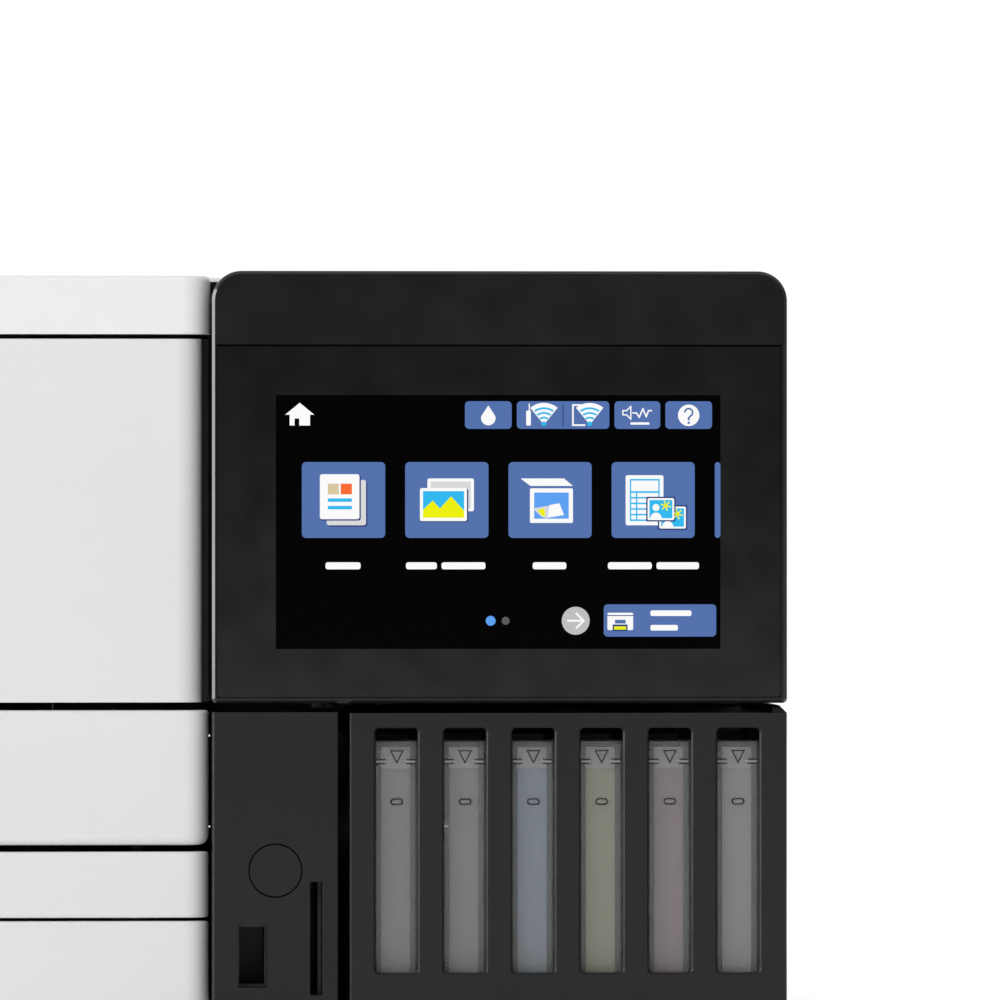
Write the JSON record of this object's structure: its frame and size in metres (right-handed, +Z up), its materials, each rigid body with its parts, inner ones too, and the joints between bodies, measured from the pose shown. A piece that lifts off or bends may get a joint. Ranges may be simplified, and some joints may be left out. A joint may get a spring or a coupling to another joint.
{
  "type": "inkjet printer",
  "caption": "Desktop inkjet printer and scanner with a tilting touch panel, refillable ink tanks behind windows, pull-out paper cassettes and a rear sheet feed.",
  "frame": {"origin": "middle of the footprint, on the surface the printer stands on", "axes": "+X to the right seen from the front, +Y towards the back, +Z up"},
  "size_m": [0.403, 0.347, 0.162],
  "materials": {
    "white_shell": "fine-grained moulded, satin",
    "white_lid": "fine-grained moulded, satin",
    "white_front": "fine-grained moulded, satin",
    "black_shell": "smooth, semi-gloss",
    "tank_bezel": "smooth, satin",
    "panel_case": "semi-gloss",
    "touch_glass": "smooth",
    "frame_plastic": "fine-grained",
    "grey_plastic": "satin",
    "light_plastic": "satin",
    "gear_plastic": "satin",
    "steel_sheet": "brushed",
    "shaft_steel": "polished",
    "motor_steel": "plated",
    "rubber": "matt",
    "roller_rubber": "ground matt",
    "flatbed_glass": "clear",
    "tank_plastic": "smoked, translucent",
    "strip_film": "clear film",
    "circuit_board": "solder mask",
    "mat_foam": "soft white sheet",
    "tube_plastic": "smooth"
  },
  "bodies": {
    "chassis": {"base_frame": "frame_plastic", "rubber_feet": "rubber", "left_side_cover": "white_shell", "right_side_cover": "white_shell", "rear_housing": "white_shell", "front_bezel": "black_shell", "card_reader": "frame_plastic", "tank_front_cover": "tank_bezel", "ink_tanks": "tank_plastic", "carriage_frame": "steel_sheet", "guide_shaft": "shaft_steel", "carriage_belt": "rubber", "carriage_motor": "motor_steel", "encoder_strip": "strip_film", "platen": "frame_plastic", "feed_motor": "motor_steel", "pinch_roller_holder": "frame_plastic", "capping_station": "grey_plastic", "main_board": "circuit_board", "power_supply": "frame_plastic", "ink_tubes": "tube_plastic"},
    "scanner_unit": {"scanner_housing": "white_front", "panel_mount": "black_shell", "scanner_base": "frame_plastic", "scanner_glass": "flatbed_glass", "scan_guide_rod": "shaft_steel"},
    "scan_carriage": {"scan_carriage": "frame_plastic", "cis_sensor": "grey_plastic"},
    "document_cover": {"document_cover": "white_lid", "document_mat": "mat_foam"},
    "control_panel": {"panel_housing": "panel_case", "touch_plate": "touch_glass", "lcd_module": "grey_plastic"},
    "print_carriage": {"print_carriage": "frame_plastic", "print_head": "motor_steel"},
    "output_tray": {"output_tray": "grey_plastic"},
    "front_flap": {"front_flap": "white_front"},
    "paper_stopper": {"paper_stopper": "grey_plastic"},
    "paper_cassette": {"paper_cassette": "white_front"},
    "photo_cassette": {"photo_cassette": "white_front"},
    "paper_guide_left": {"paper_guide_left": "light_plastic"},
    "paper_guide_right": {"paper_guide_right": "light_plastic"},
    "paper_end_guide": {"paper_end_guide": "light_plastic"},
    "photo_edge_guide": {"photo_edge_guide": "light_plastic"},
    "rear_feed_cover": {"rear_feed_cover": "white_shell"},
    "paper_support": {"paper_support": "light_plastic"},
    "rear_guide_left": {"rear_guide_left": "light_plastic"},
    "rear_guide_right": {"rear_guide_right": "light_plastic"},
    "ink_tank_cover": {"ink_tank_cover": "tank_bezel"},
    "tank_caps": {"tank_caps": "grey_plastic"},
    "power_button": {"power_button": "black_shell"},
    "motor_pulley": {"motor_pulley": "gear_plastic"},
    "idler_pulley": {"idler_pulley": "gear_plastic"},
    "feed_roller": {"feed_roller": "roller_rubber"},
    "exit_roller": {"exit_roller": "roller_rubber"},
    "idler_gear": {"idler_gear": "gear_plastic"},
    "feed_pinion": {"feed_pinion": "gear_plastic"},
    "pinch_rollers": {"pinch_rollers": "gear_plastic"},
    "maintenance_box": {"maintenance_box": "grey_plastic"},
    "rear_cover": {"rear_cover": "white_shell"}
  },
  "joints": [
    {"name": "scanner_hinge", "type": "hinge", "parent": "chassis", "child": "scanner_unit", "pos_m": [0, 0.124, 0.152], "axis": [-1, 0, 0], "range_deg": [0, 45]},
    {"name": "document_cover_hinge", "type": "hinge", "parent": "scanner_unit", "child": "document_cover", "pos_m": [0, 0.11, 0.153], "axis": [1, 0, 0], "range_deg": [-80, 0]},
    {"name": "scan_carriage_slide", "type": "slide", "parent": "scanner_unit", "child": "scan_carriage", "axis": [1, 0, 0], "range_m": [0, 0.3]},
    {"name": "control_panel_tilt", "type": "hinge", "parent": "scanner_unit", "child": "control_panel", "pos_m": [0, -0.164, 0.153], "axis": [-1, 0, 0], "range_deg": [0, 55]},
    {"name": "output_tray_slide", "type": "slide", "parent": "chassis", "child": "output_tray", "axis": [0, -1, 0], "range_m": [0, 0.12]},
    {"name": "front_flap_hinge", "type": "hinge", "parent": "output_tray", "child": "front_flap", "pos_m": [0, -0.1669, 0.0435], "axis": [1, 0, 0], "range_deg": [0, 90]},
    {"name": "paper_stopper_hinge", "type": "hinge", "parent": "front_flap", "child": "paper_stopper", "pos_m": [0, -0.167, 0.064], "axis": [1, 0, 0], "range_deg": [0, 80]},
    {"name": "paper_cassette_slide", "type": "slide", "parent": "chassis", "child": "paper_cassette", "axis": [0, -1, 0], "range_m": [0, 0.2]},
    {"name": "paper_guide_left_slide", "type": "slide", "parent": "paper_cassette", "child": "paper_guide_left", "axis": [1, 0, 0], "range_m": [0, 0.054]},
    {"name": "paper_guide_right_slide", "type": "slide", "parent": "paper_cassette", "child": "paper_guide_right", "axis": [1, 0, 0], "range_m": [-0.054, 0]},
    {"name": "paper_end_guide_slide", "type": "slide", "parent": "paper_cassette", "child": "paper_end_guide", "axis": [0, -1, 0], "range_m": [0, 0.1]},
    {"name": "photo_cassette_slide", "type": "slide", "parent": "chassis", "child": "photo_cassette", "axis": [0, -1, 0], "range_m": [0, 0.16]},
    {"name": "photo_edge_guide_slide", "type": "slide", "parent": "photo_cassette", "child": "photo_edge_guide", "axis": [-1, 0, 0], "range_m": [0, 0.038]},
    {"name": "rear_feed_cover_hinge", "type": "hinge", "parent": "chassis", "child": "rear_feed_cover", "pos_m": [0, 0.1375, 0.1586], "axis": [1, 0, 0], "range_deg": [0, 95]},
    {"name": "paper_support_slide", "type": "slide", "parent": "chassis", "child": "paper_support", "axis": [0, 0.342, 0.9397], "range_m": [0, 0.06]},
    {"name": "rear_guide_left_slide", "type": "slide", "parent": "chassis", "child": "rear_guide_left", "axis": [1, 0, 0], "range_m": [0, 0.054]},
    {"name": "rear_guide_right_slide", "type": "slide", "parent": "chassis", "child": "rear_guide_right", "axis": [1, 0, 0], "range_m": [-0.054, 0]},
    {"name": "ink_tank_cover_hinge", "type": "hinge", "parent": "chassis", "child": "ink_tank_cover", "pos_m": [0, -0.08, 0.0656], "axis": [-1, 0, 0], "range_deg": [0, 90]},
    {"name": "tank_caps_hinge", "type": "hinge", "parent": "chassis", "child": "tank_caps", "pos_m": [0, -0.117, 0.0606], "axis": [-1, 0, 0], "range_deg": [0, 90]},
    {"name": "power_button_press", "type": "slide", "parent": "chassis", "child": "power_button", "axis": [0, 1, 0], "range_m": [0, 0.0015], "stiffness_N_per_m": 600},
    {"name": "print_carriage_slide", "type": "slide", "parent": "chassis", "child": "print_carriage", "axis": [-1, 0, 0], "range_m": [0, 0.2795], "deforming": ["ink_tubes"]},
    {"name": "motor_pulley_spin", "type": "hinge", "parent": "chassis", "child": "motor_pulley", "pos_m": [0.178, 0.08, 0.092], "axis": [0, -1, 0], "continuous": true},
    {"name": "idler_pulley_spin", "type": "hinge", "parent": "chassis", "child": "idler_pulley", "pos_m": [-0.176, 0.08, 0.092], "axis": [0, -1, 0], "continuous": true},
    {"name": "feed_roller_spin", "type": "hinge", "parent": "chassis", "child": "feed_roller", "pos_m": [0, 0.062, 0.058], "axis": [1, 0, 0], "continuous": true},
    {"name": "idler_gear_spin", "type": "hinge", "parent": "chassis", "child": "idler_gear", "pos_m": [-0.193, 0.032, 0.058], "axis": [1, 0, 0], "continuous": true},
    {"name": "exit_roller_spin", "type": "hinge", "parent": "chassis", "child": "exit_roller", "pos_m": [0, 0.002, 0.058], "axis": [1, 0, 0], "continuous": true},
    {"name": "feed_pinion_spin", "type": "hinge", "parent": "chassis", "child": "feed_pinion", "pos_m": [-0.193, 0.0844, 0.058], "axis": [1, 0, 0], "continuous": true},
    {"name": "pinch_rollers_spin", "type": "hinge", "parent": "chassis", "child": "pinch_rollers", "pos_m": [0, 0.062, 0.0681], "axis": [1, 0, 0], "continuous": true},
    {"name": "maintenance_box_slide", "type": "slide", "parent": "chassis", "child": "maintenance_box", "axis": [0, 1, 0], "range_m": [0, 0.11]},
    {"name": "rear_cover_slide", "type": "slide", "parent": "chassis", "child": "rear_cover", "axis": [0, 1, 0], "range_m": [0, 0.05]}
  ],
  "couplings": [
    {"joint": "ink_tank_cover_hinge", "follows": "scanner_hinge", "ratio": 2},
    {"joint": "tank_caps_hinge", "follows": "scanner_hinge", "ratio": 2},
    {"joint": "paper_guide_right_slide", "follows": "paper_guide_left_slide", "ratio": -1},
    {"joint": "rear_guide_right_slide", "follows": "rear_guide_left_slide", "ratio": -1},
    {"joint": "motor_pulley_spin", "follows": "print_carriage_slide", "rad_per_m": 153.85},
    {"joint": "idler_pulley_spin", "follows": "print_carriage_slide", "rad_per_m": 153.85},
    {"joint": "idler_gear_spin", "follows": "feed_roller_spin", "ratio": -1.1429},
    {"joint": "exit_roller_spin", "follows": "feed_roller_spin", "ratio": 1},
    {"joint": "feed_pinion_spin", "follows": "feed_roller_spin", "ratio": -2.5},
    {"joint": "pinch_rollers_spin", "follows": "feed_roller_spin", "ratio": -1.5}
  ]
}
